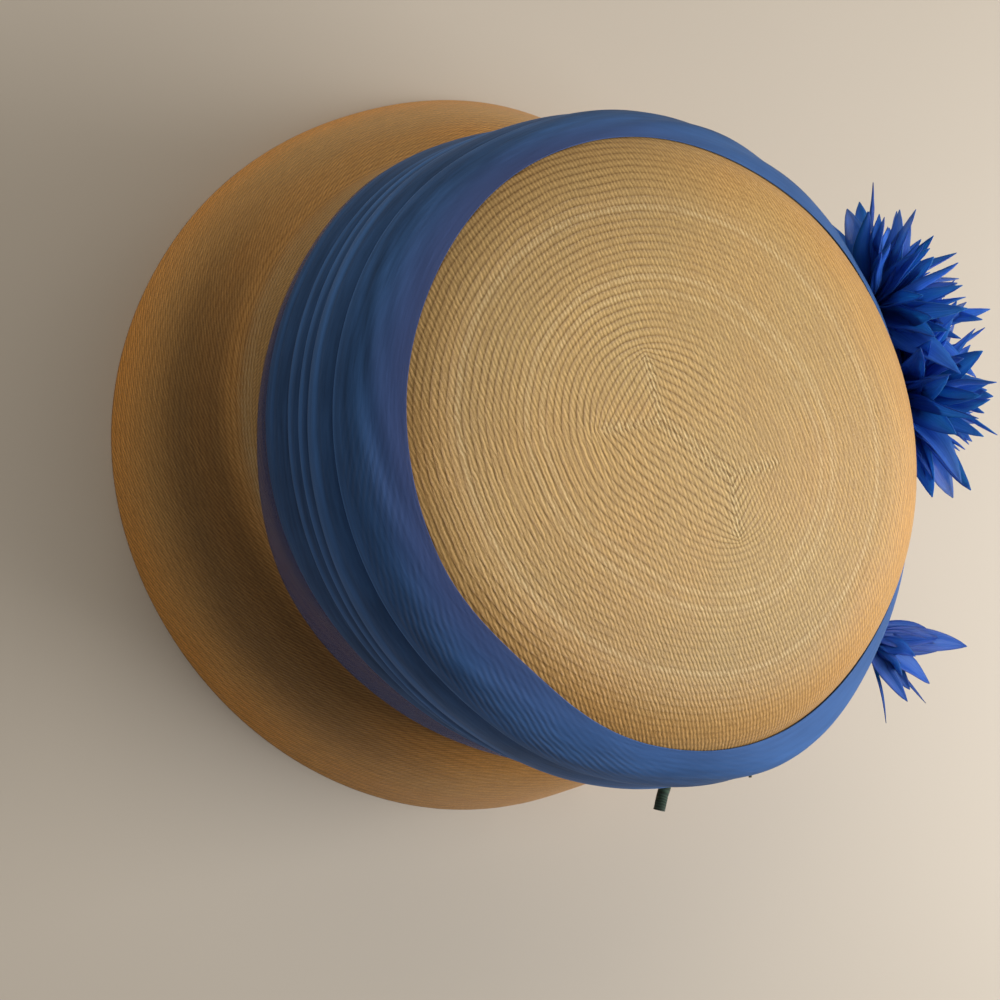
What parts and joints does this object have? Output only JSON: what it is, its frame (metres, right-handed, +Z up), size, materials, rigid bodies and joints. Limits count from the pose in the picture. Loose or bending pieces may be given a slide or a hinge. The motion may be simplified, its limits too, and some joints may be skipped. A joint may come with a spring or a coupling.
{
  "type": "cloche hat",
  "caption": "Woven straw cloche with a rounded flat-topped crown, a short bell brim, a draped chiffon band and silk cornflowers at the back.",
  "frame": {"origin": "middle of the footprint, on the plane that the brim's edge rests on", "axes": "+Z up through the crown; the front of the hat faces -Y; +X is the wearer's left"},
  "size_m": [0.2352, 0.2512, 0.118],
  "materials": {
    "straw": "fine woven straw, natural golden tan, slightly glossy",
    "chiffon": "sheer crinkled chiffon, mid blue",
    "petals": "stiffened silk, royal blue",
    "stem_wrap": "cotton-wrapped wire, dark green"
  },
  "bodies": {
    "root": {"straw_body": "straw", "band_lower_swath": "chiffon", "band_upper_swath": "chiffon", "cornflower_bunch": "petals", "cornflower_small": "petals", "flower_stems": "stem_wrap"}
  },
  "joints": []
}
